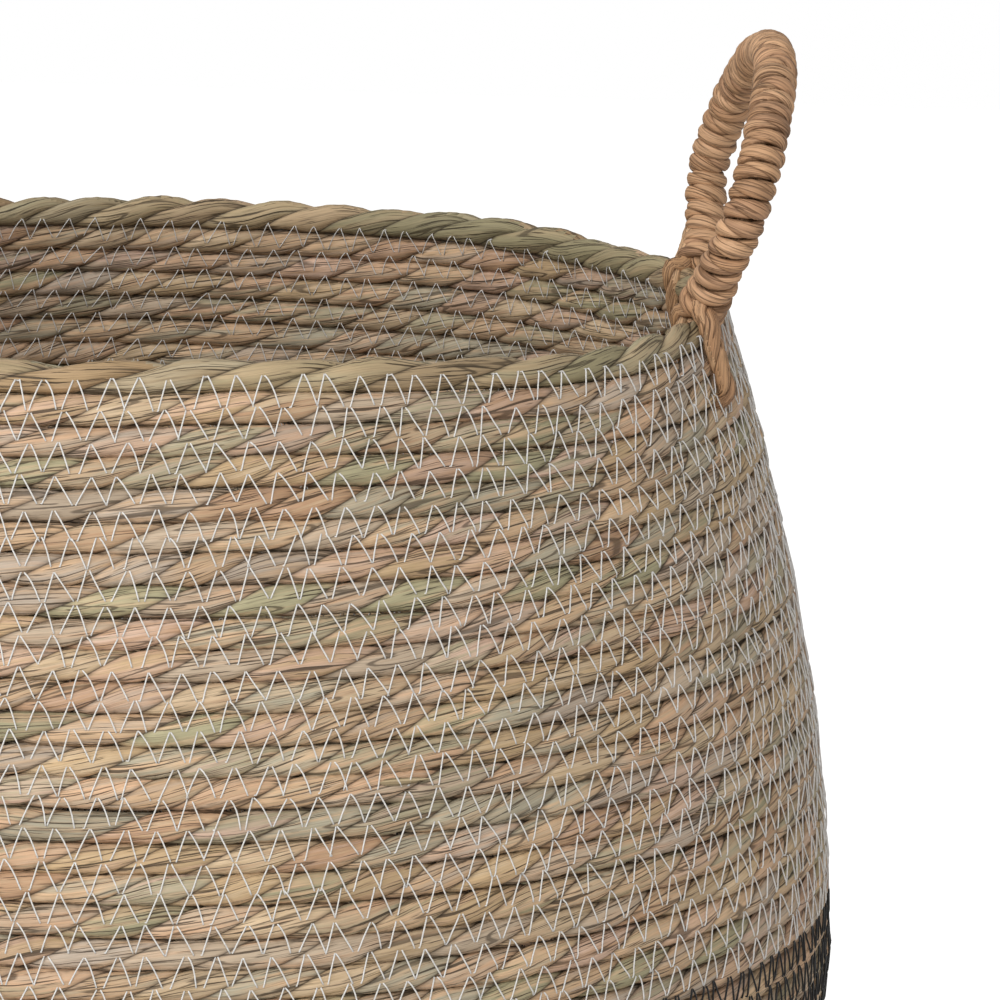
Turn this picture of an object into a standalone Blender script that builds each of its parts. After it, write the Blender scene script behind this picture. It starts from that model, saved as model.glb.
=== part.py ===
"""Coil-sewn seagrass belly basket with two twine-wrapped rope handles.

A twisted seagrass rope is coiled into a flat base, up a bellied wall and into the rim, and each
course is sewn to the last. Two rope loops stand on the rim. At each foot a rope strand grips the rim:
it runs down the outside, through the wall below the second course, and up the inside.

Metres, +Z up, origin on the floor at the middle of the base. The handles are at +X and -X.
"""
import math

import bmesh
import bpy
import numpy as np
from mathutils import Matrix

# Basket
BASKET_HEIGHT = 0.380            # floor to the top of the rim rope
RIM_RADIUS = 0.1755              # axis to the middle of the rim rope
BELLY_RADIUS = 0.2156            # axis to the middle of the wall at its widest
BELLY_HEIGHT = 0.176             # floor to the widest place
FOOT_RADIUS = 0.1570             # axis to the middle of the wall where it leaves the base
SHOULDER_POWER = 1.7             # how the wall draws in from the belly to the rim
TUCK_POWER = 2.2                 # how it draws in from the belly to the base

# Rope
ROPE_DIAMETER = 0.0089           # seagrass rope, which is also the height of one course
RIM_ROPE_DIAMETER = 0.0094
GROOVE_DEPTH = 0.0019            # how far the groove between two courses goes in
FLAT_CUT = 0.0005                # how much the base rope is pressed flat where it stands
FLAT_TURNS = 4                   # outer turns of the base that stand on the floor; the rest clear it
UPPER_COURSES = 21               # courses sewn with pale thread; those below have dark thread
SEAT_GAP = 0.0003                # clearance between pieces that touch

# Handles
FOOT_FACETS = 1.5                # facets of the wall from the handle's middle to each foot
SEAT_ANGLE = math.radians(22.0)  # from straight up to the foot's place on the rim rope, outward
LOOP_BULGE = 0.0091              # how far the loop swells out past its feet, each side
LOOP_RISE = 0.0482               # middle of the loop's oval to its top
LOOP_LEAN = math.radians(15.9)   # outward lean at rest
FOOT_ROPE_DIAMETER = 0.0080      # handle rope at its feet and the strands that hold it
CORE_DIAMETER = 0.0052           # the same rope, squeezed inside the twine
TWINE_DIAMETER = 0.0043
TWINE_TURNS = 28
TWINE_START = 0.0115             # foot centre to the middle of the first turn, along the rope
ANCHOR_COURSES = 2               # courses that each strand reaches down before it goes through
STRAND_BEND = 0.0047             # bend radius where a strand turns into the wall
STRAND_CLEARANCE = 0.0006        # round the strand in its hole
GRIP_ANGLE = math.radians(45.0)  # from the foot's place on the rim to where each strand starts

# Facets
WALL_FACETS = 32
RIM_SIDES = 10
PLAIN_STEP_COURSES = 3           # courses per step where a hidden side is left without ribs
WALL_SAMPLES = 400
TURN_POINTS = 8
CORE_STEPS = 22
HOLE_SIDES = 12
LEAST_TWINE_GAP = 0.0004

# Worked out from the sizes above
ROPE_RADIUS = ROPE_DIAMETER / 2
RIM_ROPE_RADIUS = RIM_ROPE_DIAMETER / 2
STRAND_RADIUS = FOOT_ROPE_DIAMETER / 2
GROOVE_RADIUS = ROPE_RADIUS - GROOVE_DEPTH
RIM_HEIGHT = BASKET_HEIGHT - RIM_ROPE_RADIUS
BASE_MIDDLE = ROPE_RADIUS - FLAT_CUT
FOOT_ANGLE = FOOT_FACETS * math.tau / WALL_FACETS
FACET_TURN = math.pi / WALL_FACETS
SEAT_REACH = RIM_ROPE_RADIUS + SEAT_GAP + STRAND_RADIUS
FOOT_CIRCLE = RIM_RADIUS + SEAT_REACH * math.sin(SEAT_ANGLE)
FOOT_SPACING = FOOT_CIRCLE * math.sin(FOOT_ANGLE)
LOOP_HALF_WIDTH = FOOT_SPACING + LOOP_BULGE
LOOP_MIDDLE = LOOP_RISE * math.sqrt(1 - (FOOT_SPACING / LOOP_HALF_WIDTH) ** 2)
HINGE_X = FOOT_CIRCLE * math.cos(FOOT_ANGLE)
HINGE_Z = RIM_HEIGHT + SEAT_REACH * math.cos(SEAT_ANGLE)


def clear_scene():
    for old in list(bpy.data.objects):
        bpy.data.objects.remove(old, do_unlink=True)


def finish(name, colour, roughness):
    """A material of the piece's own colour (linear) and roughness."""
    material = bpy.data.materials.new(name)
    material.use_nodes = True
    shader = material.node_tree.nodes["Principled BSDF"]
    shader.inputs["Base Color"].default_value = (*colour, 1.0)
    shader.inputs["Roughness"].default_value = roughness
    shader.inputs["Metallic"].default_value = 0.0
    return material


def add_object(name, data, material):
    obj = bpy.data.objects.new(name, data)
    bpy.context.collection.objects.link(obj)
    obj.data.materials.append(material)
    return obj


# The wall's middle line

def wall_line():
    """Middle of the wall from the rim rope's middle down to the base: radius, height and length."""
    foot_height = BASE_MIDDLE + ROPE_RADIUS
    height = np.linspace(RIM_HEIGHT, foot_height, WALL_SAMPLES)
    above = np.clip((height - BELLY_HEIGHT) / (RIM_HEIGHT - BELLY_HEIGHT), 0, None)
    below = np.clip((BELLY_HEIGHT - height) / (BELLY_HEIGHT - foot_height), 0, None)
    radius = (BELLY_RADIUS
              - (BELLY_RADIUS - RIM_RADIUS) * above ** SHOULDER_POWER
              - (BELLY_RADIUS - FOOT_RADIUS) * below ** TUCK_POWER)
    steps = np.hypot(np.diff(radius), np.diff(height))
    return radius, height, np.concatenate([[0], np.cumsum(steps)])


WALL_LINE = wall_line()
COIL_TOP = RIM_ROPE_RADIUS + SEAT_GAP
COURSES = round((WALL_LINE[2][-1] - COIL_TOP) / ROPE_DIAMETER)
PITCH = (WALL_LINE[2][-1] - COIL_TOP) / COURSES


def wall_point(length, offset):
    """Radius and height at a length down the wall, offset outward from its middle line."""
    radius, height, lengths = WALL_LINE
    step = lengths[-1] / WALL_SAMPLES
    here = np.array([np.interp(length, lengths, radius), np.interp(length, lengths, height)])
    low = min(max(length - step, 0), lengths[-1] - 2 * step)
    ahead = np.array([np.interp(low + 2 * step, lengths, radius), np.interp(low + 2 * step, lengths, height)])
    behind = np.array([np.interp(low, lengths, radius), np.interp(low, lengths, height)])
    down = (ahead - behind) / np.linalg.norm(ahead - behind)
    outward = np.array([-down[1], down[0]])
    return here + offset * outward


def groove_length(course):
    return COIL_TOP + course * PITCH


def ribbed_side(first, last, side):
    """One side of the wall: a groove and a crest for each course, top to bottom."""
    points = [wall_point(groove_length(first), side * GROOVE_RADIUS)]
    for course in range(first, last):
        points.append(wall_point(groove_length(course + 0.5), side * ROPE_RADIUS))
        points.append(wall_point(groove_length(course + 1), side * GROOVE_RADIUS))
    return points


def plain_side(first, last, side):
    """One side of the wall without ribs, halfway between groove and crest."""
    count = max(2, round((last - first) / PLAIN_STEP_COURSES))
    offset = side * (ROPE_RADIUS + GROOVE_RADIUS) / 2
    return [wall_point(groove_length(first + (last - first) * k / count), offset) for k in range(count + 1)]


def trimmed(points, top_gap, bottom_gap):
    """The same side with its ends drawn back along it, to leave the seat gap."""
    for end, neighbour, gap in ((0, 1, top_gap), (-1, -2, bottom_gap)):
        along = points[neighbour] - points[end]
        points[end] = points[end] + along * gap / np.linalg.norm(along)
    return points


def turned(name, outline, facets, material):
    """A solid of revolution about Z. The outline is closed, or starts and ends on the axis.

    It is turned by half a facet, so that the handles' feet stand at corners of its facets.
    """
    mesh = bpy.data.meshes.new(name)
    bm = bmesh.new()
    verts = [bm.verts.new((radius * math.cos(FACET_TURN), radius * math.sin(FACET_TURN), height))
             for radius, height in outline]
    edges = [bm.edges.new(pair) for pair in zip(verts, verts[1:])]
    if outline[0][0] > 0:
        edges.append(bm.edges.new((verts[-1], verts[0])))
    bmesh.ops.spin(bm, geom=verts + edges, cent=(0, 0, 0), axis=(0, 0, 1), angle=math.tau,
                   steps=facets, use_merge=True)
    bmesh.ops.remove_doubles(bm, verts=bm.verts, dist=SEAT_GAP / 100)
    bmesh.ops.triangulate(bm, faces=bm.faces)
    bmesh.ops.recalc_face_normals(bm, faces=bm.faces)
    bm.to_mesh(mesh)
    bm.free()
    mesh.shade_smooth()
    mesh.set_sharp_from_angle(angle=math.radians(30))
    return add_object(name, mesh, material)


# Coiled pieces

def build_rim():
    """The slightly thicker round of rope that closes the mouth."""
    circle = [math.tau * (k + 0.5) / RIM_SIDES for k in range(RIM_SIDES)]
    outline = [(RIM_RADIUS + RIM_ROPE_RADIUS * math.sin(a), RIM_HEIGHT + RIM_ROPE_RADIUS * math.cos(a))
               for a in circle]
    return turned("rim_coil", outline, WALL_FACETS, finish("rim seagrass", (0.27, 0.22, 0.12), 0.75))


def build_upper_wall():
    """The courses from the rim to the belly, ribbed outside and inside."""
    outside = trimmed(ribbed_side(0, UPPER_COURSES, 1), 0, SEAT_GAP / 2)
    inside = trimmed(ribbed_side(0, UPPER_COURSES, -1), 0, SEAT_GAP / 2)
    material = finish("upper seagrass", (0.42, 0.29, 0.17), 0.75)
    return turned("upper_wall_coil", outside + inside[::-1], WALL_FACETS, material)


def build_lower_wall():
    """The courses from the belly to the base, ribbed outside only."""
    outside = trimmed(ribbed_side(UPPER_COURSES, COURSES, 1), SEAT_GAP / 2, SEAT_GAP)
    inside = trimmed(plain_side(UPPER_COURSES, COURSES, -1), SEAT_GAP / 2, SEAT_GAP)
    material = finish("lower seagrass", (0.24, 0.17, 0.11), 0.75)
    return turned("lower_wall_coil", outside + inside[::-1], WALL_FACETS, material)


def build_base():
    """The flat coil below: a groove between turns, and the outer turns pressed flat where they stand."""
    end = WALL_LINE[2][-1]
    wall_inner = wall_point(end, -GROOVE_RADIUS)
    wall_outer = wall_point(end, GROOVE_RADIUS)
    along = (wall_outer - wall_inner) / np.linalg.norm(wall_outer - wall_inner)
    top = 2 * BASE_MIDDLE
    edge_top = wall_inner + along * (top - wall_inner[1]) / along[1]
    if edge_top[0] < wall_inner[0]:
        edge_top = np.array([wall_inner[0], top])
    outer_middle = wall_outer[0] - ROPE_RADIUS
    flat = math.sqrt(ROPE_RADIUS ** 2 - BASE_MIDDLE ** 2)
    turns = round(outer_middle / ROPE_DIAMETER)
    pitch = outer_middle / turns
    outline = [(0, FLAT_CUT)]
    for turn in range(1, turns + 1):
        outline.append(((turn - 0.5) * pitch, GROOVE_DEPTH))
        if turn > turns - FLAT_TURNS:
            outline.append((turn * pitch - flat, 0))
            outline.append((turn * pitch + flat, 0))
        else:
            outline.append((turn * pitch, FLAT_CUT))
    outline.append((outer_middle + ROPE_RADIUS, BASE_MIDDLE))
    outline.append((edge_top[0], edge_top[1]))
    outline.append((outer_middle / 2, top))
    outline.append((0, top))
    return turned("base_coil", outline, WALL_FACETS, finish("base seagrass", (0.30, 0.22, 0.14), 0.8))


# Strands that hold the handles

def strand_points():
    """A strand's path in its radial plane: over the rim's shoulder, down, through the wall and up."""
    run = ROPE_RADIUS + SEAT_GAP + STRAND_RADIUS
    hole = groove_length(ANCHOR_COURSES)
    bend_top = hole - STRAND_BEND
    points = []
    for side in (1, -1):
        beside = wall_point(0, side * SEAT_REACH) - wall_point(0, 0)
        start_angle = SEAT_ANGLE + side * GRIP_ANGLE
        beside_angle = math.atan2(beside[0], beside[1])
        half = []
        for k in range(3):
            angle = start_angle + (beside_angle - start_angle) * k / 3
            half.append(wall_point(0, 0) + SEAT_REACH * np.array([math.sin(angle), math.cos(angle)]))
        half.append(wall_point(0, side * SEAT_REACH))
        for course in range(ANCHOR_COURSES - 1):
            half.append(wall_point(groove_length(course + 0.5), side * run))
        for k in range(4):
            turn = math.pi / 2 * k / 3
            half.append(wall_point(bend_top + STRAND_BEND * math.sin(turn),
                                   side * (run - STRAND_BEND + STRAND_BEND * math.cos(turn))))
        points += half if side == 1 else half[::-1]
    return points


def tube(name, points, diameter, radii=None):
    """Curve data for a round rope along the points, with closed ends."""
    curve = bpy.data.curves.new(name, "CURVE")
    curve.dimensions = "3D"
    curve.bevel_depth = diameter / 2
    curve.bevel_resolution = 1
    curve.use_fill_caps = True
    curve.twist_mode = "MINIMUM"
    spline = curve.splines.new("POLY")
    spline.points.add(len(points) - 1)
    for index, (target, point) in enumerate(zip(spline.points, points)):
        target.co = (*point, 1.0)
        target.radius = 1.0 if radii is None else radii[index]
    return curve


def feet():
    """Name and compass angle of each handle foot."""
    for side, middle in (("right", 0.0), ("left", math.pi)):
        yield f"front_{side}", middle - FOOT_ANGLE * math.cos(middle)
        yield f"back_{side}", middle + FOOT_ANGLE * math.cos(middle)


def build_strands():
    path = [(radius, 0, height) for radius, height in strand_points()]
    for place, angle in feet():
        data = tube(f"strand_{place}", path, FOOT_ROPE_DIAMETER)
        strand = add_object(f"anchor_strand_{place}", data, finish(f"strand {place}", (0.40, 0.24, 0.12), 0.8))
        strand.rotation_euler.z = angle


def cut_strand_holes(wall):
    """A round hole through the wall for each strand, square to the wall.

    Each hole is turned by a third of a side. None of its edges then meets an edge of the wall end on,
    and it isn't mirrored about the corner of the wall that it goes through.
    """
    hole = groove_length(ANCHOR_COURSES)
    third_of_side = Matrix.Rotation(math.tau / HOLE_SIDES / 3, 4, "Z")
    inner = wall_point(hole, -ROPE_DIAMETER)
    outer = wall_point(hole, ROPE_DIAMETER)
    path = [(inner[0], 0, inner[1]), (outer[0], 0, outer[1])]
    for place, angle in feet():
        cutter_mesh = bpy.data.meshes.new(f"hole_{place}")
        bm = bmesh.new()
        radius = STRAND_RADIUS + STRAND_CLEARANCE
        bmesh.ops.create_cone(bm, cap_ends=True, segments=HOLE_SIDES, radius1=radius, radius2=radius,
                              depth=math.dist(path[0], path[1]), matrix=third_of_side)
        bm.to_mesh(cutter_mesh)
        bm.free()
        cutter = bpy.data.objects.new(f"hole_{place}", cutter_mesh)
        bpy.context.collection.objects.link(cutter)
        middle = (inner + outer) / 2
        tilt = math.atan2(outer[0] - inner[0], outer[1] - inner[1])
        cutter.rotation_euler = (0, tilt, angle)
        cutter.location = (middle[0] * math.cos(angle), middle[0] * math.sin(angle), middle[1])
        cutter.hide_render = True
        cutter.display_type = "WIRE"
        cut = wall.modifiers.new(f"hole_{place}", "BOOLEAN")
        cut.operation = "DIFFERENCE"
        cut.object = cutter
    facets = wall.modifiers.new("facets", "TRIANGULATE")
    facets.quad_method = "SHORTEST_DIAGONAL"
    facets.ngon_method = "BEAUTY"


# Handles, in the frame of their hinge: origin on the hinge, X outward, Y along the rim

def loop_point(angle):
    """A point of the loop's middle line. The feet are on the hinge line."""
    along = LOOP_HALF_WIDTH * math.cos(angle)
    up = LOOP_MIDDLE + LOOP_RISE * math.sin(angle)
    return np.array([up * math.sin(LOOP_LEAN), along, up * math.cos(LOOP_LEAN)])


def loop_line():
    """The loop from foot to foot as points at even lengths, and its length."""
    start = -math.asin(LOOP_MIDDLE / LOOP_RISE)
    fine = np.array([loop_point(a) for a in np.linspace(start, math.pi - start, WALL_SAMPLES)])
    lengths = np.concatenate([[0], np.cumsum(np.linalg.norm(np.diff(fine, axis=0), axis=1))])
    return fine, lengths


def loop_at(fine, lengths, length):
    """Place and direction at a length along the loop."""
    step = lengths[-1] / WALL_SAMPLES
    here = np.array([np.interp(length, lengths, fine[:, k]) for k in range(3)])
    low = min(max(length - step, 0), lengths[-1] - 2 * step)
    ahead = np.array([np.interp(low + 2 * step, lengths, fine[:, k]) for k in range(3)])
    behind = np.array([np.interp(low, lengths, fine[:, k]) for k in range(3)])
    return here, (ahead - behind) / np.linalg.norm(ahead - behind)


def core_curve():
    """The handle rope: a round foot at each end, full size at the feet and squeezed in the twine."""
    fine, lengths = loop_line()
    total = lengths[-1]
    squeeze = CORE_DIAMETER / FOOT_ROPE_DIAMETER
    narrow = TWINE_START - TWINE_DIAMETER
    points, radii = [], []
    for k in range(1, 4):
        turn = math.pi / 2 * k / 4
        here, along = loop_at(fine, lengths, 0)
        points.append(here - along * STRAND_RADIUS * math.cos(turn))
        radii.append(math.sin(turn))
    for k in range(CORE_STEPS + 1):
        length = narrow + (total - 2 * narrow) * k / CORE_STEPS
        if k == 0:
            points.append(loop_at(fine, lengths, 0)[0])
            radii.append(1.0)
        points.append(loop_at(fine, lengths, length)[0])
        radii.append(squeeze)
        if k == CORE_STEPS:
            points.append(loop_at(fine, lengths, total)[0])
            radii.append(1.0)
    for k in range(3, 0, -1):
        turn = math.pi / 2 * k / 4
        here, along = loop_at(fine, lengths, total)
        points.append(here + along * STRAND_RADIUS * math.cos(turn))
        radii.append(math.sin(turn))
    return tube("handle_rope", points, FOOT_ROPE_DIAMETER, radii)


def twine_curve():
    """The twine: one tube wound round the rope, with a short straight tail at each end."""
    fine, lengths = loop_line()
    total = lengths[-1]
    face = np.array([math.cos(LOOP_LEAN), 0, -math.sin(LOOP_LEAN)])
    reach = CORE_DIAMETER / 2 + SEAT_GAP + TWINE_DIAMETER / 2
    count = TWINE_TURNS * TURN_POINTS
    points = []
    for k in range(count + 1):
        here, along = loop_at(fine, lengths, TWINE_START + (total - 2 * TWINE_START) * k / count)
        inward = np.cross(along, face)
        turn = math.tau * k / TURN_POINTS
        points.append(here + reach * (math.cos(turn) * face + math.sin(turn) * inward))
    for end, neighbour, place in ((points[0], points[1], 0), (points[-1], points[-2], len(points) + 1)):
        away = (end - neighbour) / np.linalg.norm(end - neighbour)
        points.insert(place, end + away * TWINE_DIAMETER)
    gap = least_gap(np.array(points), TWINE_DIAMETER)
    print(f"twine: {TWINE_TURNS} turns, least gap to itself {gap * 1000:.2f} mm")
    if gap < LEAST_TWINE_GAP:
        print("twine: the turns are closer than they should be")
    return tube("twine", points, TWINE_DIAMETER)


def least_gap(points, diameter):
    """Least clear distance between points of a wound tube that are over half a turn apart."""
    apart = TURN_POINTS * 3 // 4
    dense = np.concatenate([points[:-1] + (points[1:] - points[:-1]) * k / 4 for k in range(4)])
    order = np.concatenate([np.arange(len(points) - 1) + k / 4 for k in range(4)])
    distance = np.linalg.norm(dense[:, None, :] - dense[None, :, :], axis=2)
    far = np.abs(order[:, None] - order[None, :]) >= apart
    return distance[far].min() - diameter


def build_handle(side, turn):
    hinge = bpy.data.objects.new(f"hinge_{side}", None)
    bpy.context.collection.objects.link(hinge)
    hinge.rotation_euler.z = turn
    hinge.location = (HINGE_X * math.cos(turn), HINGE_X * math.sin(turn), HINGE_Z)
    rope = add_object(f"handle_rope_{side}", core_curve(), finish(f"handle rope {side}", (0.38, 0.22, 0.11), 0.8))
    twine = add_object(f"twine_wrap_{side}", twine_curve(), finish(f"paper twine {side}", (0.55, 0.33, 0.16), 0.7))
    rope.parent = hinge
    twine.parent = hinge


def main():
    clear_scene()
    build_rim()
    upper_wall = build_upper_wall()
    cut_strand_holes(upper_wall)
    build_lower_wall()
    build_base()
    build_strands()
    build_handle("right", 0.0)
    build_handle("left", math.pi)
    bpy.context.view_layer.update()


main()
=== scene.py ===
"""Looks of the coil-sewn seagrass belly basket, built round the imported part.

One two-ply seagrass rope runs level round the wall and steps down a course in a short stretch at the
back left. Zigzag thread sews each course to the last, outside and inside. Two rope loops wound with
kraft paper twine stand on the rim, and each foot parts into two strands that grip the rim.

Metres, +Z up, origin on the floor at the middle of the base. The front is -Y.
"""
import math

import bpy
import numpy as np
from mathutils import Matrix


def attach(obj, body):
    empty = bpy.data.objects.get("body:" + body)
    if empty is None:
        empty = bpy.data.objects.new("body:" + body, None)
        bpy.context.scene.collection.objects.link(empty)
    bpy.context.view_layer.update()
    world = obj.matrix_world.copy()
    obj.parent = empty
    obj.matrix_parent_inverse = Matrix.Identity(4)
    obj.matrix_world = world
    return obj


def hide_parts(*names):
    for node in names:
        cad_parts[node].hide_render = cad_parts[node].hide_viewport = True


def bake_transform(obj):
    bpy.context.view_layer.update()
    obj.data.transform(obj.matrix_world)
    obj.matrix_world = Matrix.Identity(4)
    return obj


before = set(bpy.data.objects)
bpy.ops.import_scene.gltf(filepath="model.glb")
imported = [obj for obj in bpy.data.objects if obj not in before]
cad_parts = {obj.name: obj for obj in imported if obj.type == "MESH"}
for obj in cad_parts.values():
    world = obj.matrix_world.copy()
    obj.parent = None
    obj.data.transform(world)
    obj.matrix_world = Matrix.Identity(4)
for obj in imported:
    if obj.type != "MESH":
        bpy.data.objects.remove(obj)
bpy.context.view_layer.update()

# Basket, with the sizes of the solids
BASKET_HEIGHT = 0.380
RIM_RADIUS = 0.1755
BELLY_RADIUS = 0.2156
BELLY_HEIGHT = 0.176
FOOT_RADIUS = 0.1570
SHOULDER_POWER = 1.7
TUCK_POWER = 2.2
ROPE_DIAMETER = 0.0089
RIM_ROPE_DIAMETER = 0.0094
FLAT_CUT = 0.0005
UPPER_COURSES = 21
SEAT_GAP = 0.0003

# Handles, with the sizes of the solids
FOOT_ANGLE = 1.5 * math.tau / 32
SEAT_ANGLE = math.radians(22.0)
LOOP_BULGE = 0.0091
LOOP_RISE = 0.0482
LOOP_LEAN = math.radians(15.9)
FOOT_ROPE_DIAMETER = 0.0080
CORE_DIAMETER = 0.0052
ANCHOR_COURSES = 2
GRIP_ANGLE = math.radians(45.0)

# Rope
LAY = 0.043                      # one full turn of a ply
RIM_LAY = 0.046
RIM_LAY_SHARE = 0.12             # how much longer the lay is at the front of the rim, and shorter at the back
NOTCH_DEPTH = 0.28               # of the rope's radius, where the two plies meet
NOTCH_WIDTH = math.radians(44)
RIM_NOTCH_WIDTH = math.radians(78)
FULLNESS = 2.06                  # 2 is a round rope, more is one pressed square by its neighbours
PRESSED_GIRTH = 1.070            # neighbours are pressed together, so the grooves close
BASE_GIRTH = 1.10                # the base is pressed up against the wall's last course
MIDDLE_RADIUS = 0.0012           # the rope's end curls up in the middle of the base
PRESSED_SHARE = 0.38
PLY_SWELL = 0.075
PRESSED_FLOOR = 0.0004           # the base is pressed flat just above its thread
RING_STEP = 0.0020
COLUMN_SHARES = (0.0, 0.035, 0.09, 0.18, 0.31, 0.5, 0.69, 0.82, 0.91, 0.965)
RAMP_START = math.radians(104)   # where a course begins to step down, out of the photo's view
RAMP_ANGLE = math.radians(60)
SPIRAL_TURNS = 15                # of the base, over which the step becomes an even spiral
FIRST_SEED = 7

# The mouth is a little wavy: middle and half width of each wave in degrees from +X, and its rise in millimetres
RIM_WAVES = ((54, 14, 1.8), (100, 30, 0.5), (254, 14, -1.3), (284, 12, 1.5), (325, 19, -3.2), (356, 8, 1.0))
WAVES_FADE = 0.27                # height where the waves of the courses end

# Thread
PALE_THREAD_DIAMETER = 0.00047
INNER_THREAD_DIAMETER = 0.00034
BLACK_THREAD_DIAMETER = 0.00064
PALE_STITCH = 0.0088             # one whole zigzag along the seam
BLACK_STITCH = 0.0066
TIP_ABOVE = 0.0033               # seam to the upper tips, up the wall
TIP_BELOW = 0.0047
RIM_TIP = 0.0040                 # the first row reaches onto the lower half of the rim rope
UPPER_TIP_GAP = 0.0008           # between the two legs at a needle hole
LOWER_TIP_GAP = 0.0014
ROW_WANDER = 0.0008              # a row drifts up and down along its seam
THREAD_DIVE = 0.0013
INNER_STITCH_SHARE = 0.84
STROKE_SHARES = (0.0, 0.12, 0.34, 0.60, 0.86, 1.0)
RISE_SHARE = 0.37                # of a stitch taken by the stroke that climbs

# Paper twine
TWINE_PITCH = 0.00525
TOP_PITCH = 0.0072               # over the top of the loop the turns lie flatter and wider
TWINE_THICKNESS = 0.0045
TWINE_LAY = 0.023
WRAP_START = -0.0052             # the wrap runs down past the hinge onto the rim
WRAP_FLARE = 0.0010              # the ends stand out over the parting strands
STRAND_LAY = 0.022
STRAND_TOP_RADIUS = 0.0036
STRAND_LOW_RADIUS = 0.0027
STRAND_SHIFT = math.radians(2.0)  # the strands leave the wrap toward the front of each foot
LOOP_TWIST = math.radians(2.5)   # each loop stands a little askew
BACK_LEG_SHIFT = (0.0036, -0.0030)  # outward and toward the front, at the foot of the back leg

# Worked out from the sizes above
ROPE_RADIUS = ROPE_DIAMETER / 2
RIM_ROPE_RADIUS = RIM_ROPE_DIAMETER / 2
STRAND_RADIUS = FOOT_ROPE_DIAMETER / 2
RIM_HEIGHT = BASKET_HEIGHT - RIM_ROPE_RADIUS
BASE_MIDDLE = ROPE_RADIUS - FLAT_CUT
COIL_TOP = RIM_ROPE_RADIUS + SEAT_GAP
SEAT_REACH = RIM_ROPE_RADIUS + SEAT_GAP + STRAND_RADIUS
FOOT_CIRCLE = RIM_RADIUS + SEAT_REACH * math.sin(SEAT_ANGLE)
FOOT_SPACING = FOOT_CIRCLE * math.sin(FOOT_ANGLE)
LOOP_HALF_WIDTH = FOOT_SPACING + LOOP_BULGE
LOOP_MIDDLE = LOOP_RISE * math.sqrt(1 - (FOOT_SPACING / LOOP_HALF_WIDTH) ** 2)
HINGE_X = FOOT_CIRCLE * math.cos(FOOT_ANGLE)
HINGE_Z = RIM_HEIGHT + SEAT_REACH * math.cos(SEAT_ANGLE)
RAMP_SHARE = RAMP_ANGLE / math.tau


# Materials

def linear(hex_colour):
    """An sRGB hex colour as the linear colour that shaders take."""
    parts = [int(hex_colour[k:k + 2], 16) / 255 for k in (1, 3, 5)]
    return (*[p / 12.92 if p <= 0.04045 else ((p + 0.055) / 1.055) ** 2.4 for p in parts], 1.0)


def add_node(tree, kind, settings=None, inputs=None):
    """A shader node with its settings, and its inputs given as values or as sockets to link."""
    node = tree.nodes.new(kind)
    for name, value in (settings or {}).items():
        setattr(node, name, value)
    for key, value in (inputs or {}).items():
        if isinstance(value, bpy.types.NodeSocket):
            tree.links.new(value, node.inputs[key])
        else:
            node.inputs[key].default_value = value
    return node


def set_ramp(node, stops):
    ramp = node.color_ramp
    while len(ramp.elements) > 1:
        ramp.elements.remove(ramp.elements[-1])
    ramp.elements[0].position = stops[0][0]
    ramp.elements[0].color = stops[0][1]
    for place, colour in stops[1:]:
        ramp.elements.new(place).color = colour


def grey(value):
    return (value, value, value, 1.0)


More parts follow.
